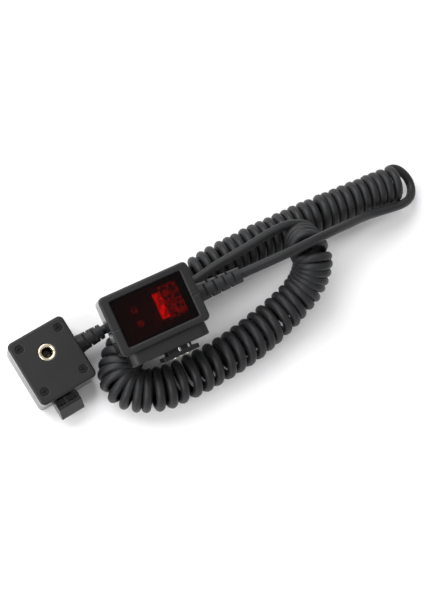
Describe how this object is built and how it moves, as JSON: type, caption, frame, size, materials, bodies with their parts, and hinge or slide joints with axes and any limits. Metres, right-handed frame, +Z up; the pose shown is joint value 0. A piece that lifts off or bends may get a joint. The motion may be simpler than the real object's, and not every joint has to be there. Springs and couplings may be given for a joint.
{
  "type": "off-camera flash cord",
  "caption": "Coiled flash cord between a camera-foot module with a red lamp window and a flash shoe module with a tripod thread.",
  "frame": {"origin": "on the table, under the middle of the box round the two modules", "axes": "+Z up out of the tripod face, +X from the shoe module towards the camera module and the far end of the coil, +Y away from the lock tab"},
  "size_m": [0.2398, 0.0717, 0.0525],
  "materials": {
    "case_plastic": "fine grained matt black",
    "gloss_plastic": "smooth black",
    "window_red": "clear dark red",
    "lamp_red": "clear red",
    "board_green": "lacquered board",
    "brass": "bright",
    "steel": "brushed",
    "black_metal": "black coated",
    "cord_rubber": "matt black"
  },
  "bodies": {
    "cord_and_modules": {"shoe_cover": "case_plastic", "shoe_body": "case_plastic", "tripod_insert": "brass", "cover_screws": "black_metal", "shoe_rail": "steel", "contact_plate": "gloss_plastic", "contact_pads": "brass", "shoe_board": "board_green", "shoe_relief": "cord_rubber", "camera_case_upper": "case_plastic", "camera_case_lower": "case_plastic", "window": "window_red", "lamp_board": "board_green", "lamp_pair": "lamp_red", "pattern_bar": "lamp_red", "lens_box": "lamp_red", "foot_base": "case_plastic", "foot_plate": "black_metal", "foot_screws": "black_metal", "ground_strip": "steel", "lever_pivot": "steel", "camera_relief": "cord_rubber", "coil_tube": "cord_rubber", "camera_lead": "cord_rubber", "shoe_lead": "cord_rubber"},
    "lock_tab_body": {"lock_tab": "gloss_plastic"},
    "shoe_lock_pin_body": {"shoe_lock_pin": "steel"},
    "lock_lever_body": {"lock_lever": "gloss_plastic"},
    "foot_lock_pin_body": {"foot_lock_pin": "steel"},
    "contact_pin_1_body": {"contact_pin_1": "brass"},
    "contact_pin_2_body": {"contact_pin_2": "brass"},
    "contact_pin_3_body": {"contact_pin_3": "brass"},
    "contact_pin_4_body": {"contact_pin_4": "brass"},
    "contact_pin_5_body": {"contact_pin_5": "brass"}
  },
  "joints": [
    {"name": "tab_pull", "type": "slide", "parent": "cord_and_modules", "child": "lock_tab_body", "axis": [0, -1, 0], "range_m": [0, 0.0025], "stiffness_N_per_m": 350, "springref_m": -0.002},
    {"name": "shoe_pin_lift", "type": "slide", "parent": "cord_and_modules", "child": "shoe_lock_pin_body", "axis": [0, 0, 1], "range_m": [0, 0.00125]},
    {"name": "lever_turn", "type": "hinge", "parent": "cord_and_modules", "child": "lock_lever_body", "pos_m": [0.01229, -0.01488, 0.03182], "axis": [0.1038, 0.9879, 0.1154], "range_deg": [0, 40]},
    {"name": "foot_pin_drop", "type": "slide", "parent": "cord_and_modules", "child": "foot_lock_pin_body", "axis": [-0.1038, -0.9879, -0.1154], "range_m": [0, 0.0013]},
    {"name": "contact_press_1", "type": "slide", "parent": "cord_and_modules", "child": "contact_pin_1_body", "axis": [0.1038, 0.9879, 0.1154], "range_m": [0, 0.0006], "stiffness_N_per_m": 250, "springref_m": -0.0008},
    {"name": "contact_press_2", "type": "slide", "parent": "cord_and_modules", "child": "contact_pin_2_body", "axis": [0.1038, 0.9879, 0.1154], "range_m": [0, 0.0006], "stiffness_N_per_m": 250, "springref_m": -0.0008},
    {"name": "contact_press_3", "type": "slide", "parent": "cord_and_modules", "child": "contact_pin_3_body", "axis": [0.1038, 0.9879, 0.1154], "range_m": [0, 0.0006], "stiffness_N_per_m": 250, "springref_m": -0.0008},
    {"name": "contact_press_4", "type": "slide", "parent": "cord_and_modules", "child": "contact_pin_4_body", "axis": [0.1038, 0.9879, 0.1154], "range_m": [0, 0.0006], "stiffness_N_per_m": 250, "springref_m": -0.0008},
    {"name": "contact_press_5", "type": "slide", "parent": "cord_and_modules", "child": "contact_pin_5_body", "axis": [0.1038, 0.9879, 0.1154], "range_m": [0, 0.0006], "stiffness_N_per_m": 250, "springref_m": -0.0008}
  ],
  "couplings": [
    {"joint": "shoe_pin_lift", "follows": "tab_pull", "ratio": 0.5},
    {"joint": "lever_turn", "follows": "foot_pin_drop", "rad_per_m": 537.02}
  ]
}
